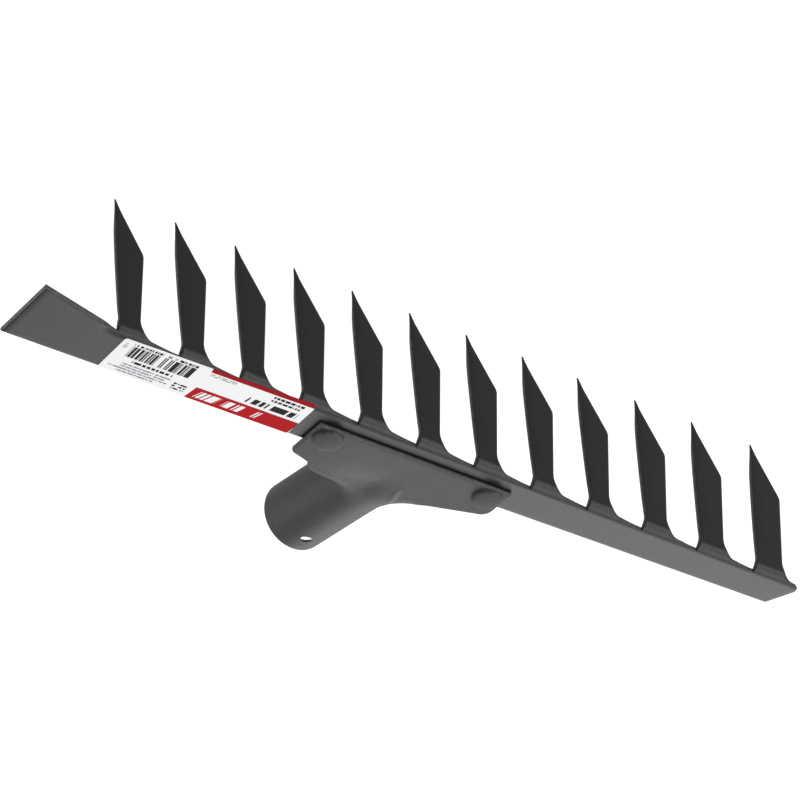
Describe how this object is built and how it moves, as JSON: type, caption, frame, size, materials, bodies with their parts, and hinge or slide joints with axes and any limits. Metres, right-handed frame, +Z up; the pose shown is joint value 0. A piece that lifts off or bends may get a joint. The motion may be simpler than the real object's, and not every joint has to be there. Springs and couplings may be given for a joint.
{
  "type": "garden rake head",
  "caption": "Riveted sheet-steel garden rake head: a bar of flat pointed tines folded down from its front edge, and a rolled handle socket on a flange.",
  "frame": {"origin": "centre of the handle socket's mouth", "axes": "+X along the row of tines towards the plain labelled end, +Y out of the socket towards the handle (which is tilted 7.5 degrees down from it), +Z up, tines down"},
  "size_m": [0.3663, 0.1087, 0.0649],
  "materials": {
    "blade_paint": "satin dark grey paint over stamped sheet steel",
    "socket_paint": "satin dark grey paint over rolled sheet steel",
    "rivet_paint": "satin dark grey paint over flattened steel rivets",
    "label_paper": null
  },
  "bodies": {
    "root": {"rake_blade": "blade_paint", "handle_socket": "socket_paint", "left_rivet": "rivet_paint", "right_rivet": "rivet_paint", "label": "label_paper"}
  },
  "joints": []
}
